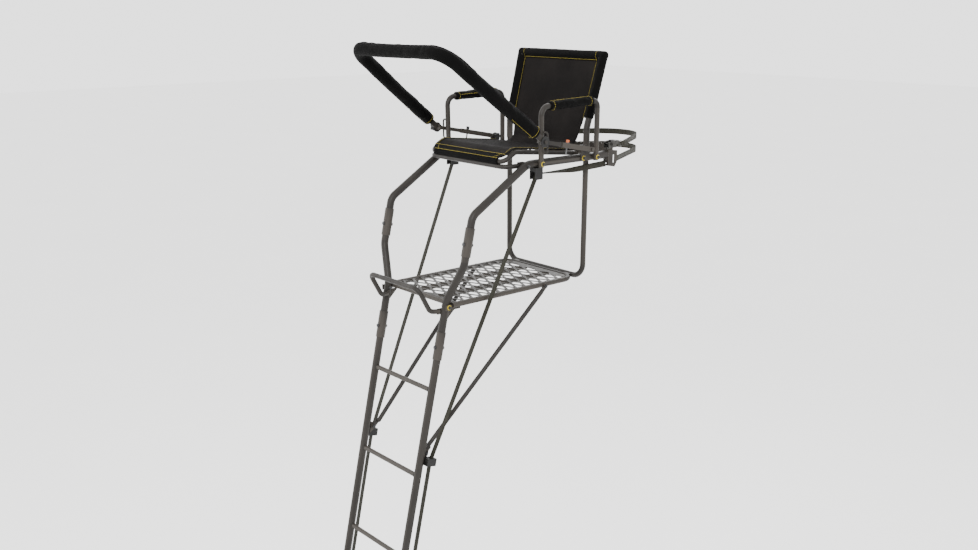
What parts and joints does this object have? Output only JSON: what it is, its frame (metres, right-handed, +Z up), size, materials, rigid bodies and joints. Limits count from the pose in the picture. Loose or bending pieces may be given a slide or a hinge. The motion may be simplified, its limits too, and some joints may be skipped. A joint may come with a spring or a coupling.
{
  "type": "ladder tree stand",
  "caption": "Leaning ladder tree stand with mesh platform, sling seat and backrest, armrests, footrest and padded tilting shooting rail, strapped to a trunk.",
  "frame": {"origin": "on the axis of the trunk that the stand is strapped to, at ground level", "axes": "+Z up along the trunk, +Y from the ladder towards the back of the trunk, +X to the sitter's left"},
  "size_m": [0.7393, 2.1316, 4.584],
  "materials": {
    "frame_paint": "powder coat, satin",
    "mesh_paint": "powder coat over expanded steel",
    "sling_mesh": "woven mesh",
    "sleeve_fabric": "padded nylon, stitched",
    "webbing": "woven webbing",
    "black_plastic": "moulded",
    "bolt_steel": "dark zinc",
    "accent_washer": "coloured coat",
    "pin_orange": "dipped tab on a steel pin",
    "ratchet_zinc": "zinc plate"
  },
  "bodies": {
    "stand": {"accent_washers": "accent_washer", "arm_keepers": "frame_paint", "arm_pad_left": "sleeve_fabric", "arm_pad_right": "sleeve_fabric", "armrest_left": "frame_paint", "armrest_right": "frame_paint", "backrest_frame": "frame_paint", "backrest_sling": "sling_mesh", "brace_left": "frame_paint", "brace_right": "frame_paint", "footrest_loop": "frame_paint", "frame_bolts": "bolt_steel", "jaw_plates": "frame_paint", "ladder_bolts": "bolt_steel", "ladder_feet": "frame_paint", "ladder_strap_blocks": "black_plastic", "lockdown_strap_left": "webbing", "lockdown_strap_right": "webbing", "lower_rail_left": "frame_paint", "lower_rail_right": "frame_paint", "lower_rungs": "frame_paint", "platform_bars": "frame_paint", "platform_mesh": "mesh_paint", "platform_rim": "frame_paint", "rail_pivots": "frame_paint", "ratchet_frame": "ratchet_zinc", "ratchet_strap": "webbing", "rear_hoop": "frame_paint", "right_strap_anchor": "frame_paint", "seat_rail_left": "frame_paint", "seat_rail_right": "frame_paint", "seat_strap_blocks": "black_plastic", "seat_support_bar": "frame_paint", "side_post_left": "frame_paint", "side_post_right": "frame_paint", "strap_cleats": "ratchet_zinc", "strap_hooks": "ratchet_zinc", "strap_tails": "webbing", "tree_saddle": "frame_paint", "trunk_strap": "webbing", "upper_rail_left": "frame_paint", "upper_rail_right": "frame_paint", "upper_rungs": "frame_paint", "weld_plates": "frame_paint"},
    "seat": {"seat_frame": "frame_paint", "seat_sling": "sling_mesh"},
    "rail_arms": {"rail_arm_left": "frame_paint", "rail_arm_right": "frame_paint"},
    "rail_slides": {"rail_slide_left": "frame_paint", "rail_slide_right": "frame_paint"},
    "shooting_rail": {"rail_frame": "frame_paint", "rail_pad": "sleeve_fabric", "tilt_discs": "black_plastic"},
    "tilt_knob": {"tilt_knob": "black_plastic"},
    "pivot_knob": {"pivot_knob": "black_plastic"},
    "adjust_pin_left": {"adjust_pin_left": "pin_orange"},
    "adjust_pin_right": {"adjust_pin_right": "bolt_steel"},
    "ratchet_handle": {"ratchet_handle": "ratchet_zinc"},
    "ratchet_spool": {"ratchet_spool": "ratchet_zinc"}
  },
  "joints": [
    {"name": "seat_flip", "type": "hinge", "parent": "stand", "child": "seat", "pos_m": [0, -0.41, 4.125], "axis": [-1, 0, 0], "range_deg": [0, 80]},
    {"name": "rail_height", "type": "hinge", "parent": "stand", "child": "rail_arms", "pos_m": [0, -0.397, 4.162], "axis": [-1, 0, 0], "range_deg": [-5, 5]},
    {"name": "rail_reach", "type": "slide", "parent": "rail_arms", "child": "rail_slides", "axis": [0, -0.9819, 0.1895], "range_m": [0, 0.06]},
    {"name": "rail_tilt", "type": "hinge", "parent": "rail_slides", "child": "shooting_rail", "pos_m": [0, -0.682, 4.217], "axis": [-1, 0, 0], "range_deg": [0, 45]},
    {"name": "tilt_knob_turn", "type": "hinge", "parent": "rail_slides", "child": "tilt_knob", "pos_m": [-0.36, -0.682, 4.217], "axis": [-1, 0, 0], "continuous": true},
    {"name": "pivot_knob_turn", "type": "hinge", "parent": "stand", "child": "pivot_knob", "pos_m": [-0.276, -0.397, 4.162], "axis": [1, 0, 0], "continuous": true},
    {"name": "pin_left_pull", "type": "slide", "parent": "rail_arms", "child": "adjust_pin_left", "axis": [0, 0.1895, 0.9819], "range_m": [0, 0.04]},
    {"name": "pin_right_pull", "type": "slide", "parent": "rail_arms", "child": "adjust_pin_right", "axis": [0, 0.1895, 0.9819], "range_m": [0, 0.04]},
    {"name": "ratchet_pump", "type": "hinge", "parent": "stand", "child": "ratchet_handle", "pos_m": [0.27, -0.234, 4.166], "axis": [1, 0, 0], "range_deg": [0, 85]},
    {"name": "spool_wind", "type": "hinge", "parent": "stand", "child": "ratchet_spool", "pos_m": [0.27, -0.234, 4.166], "axis": [1, 0, 0], "continuous": true}
  ]
}
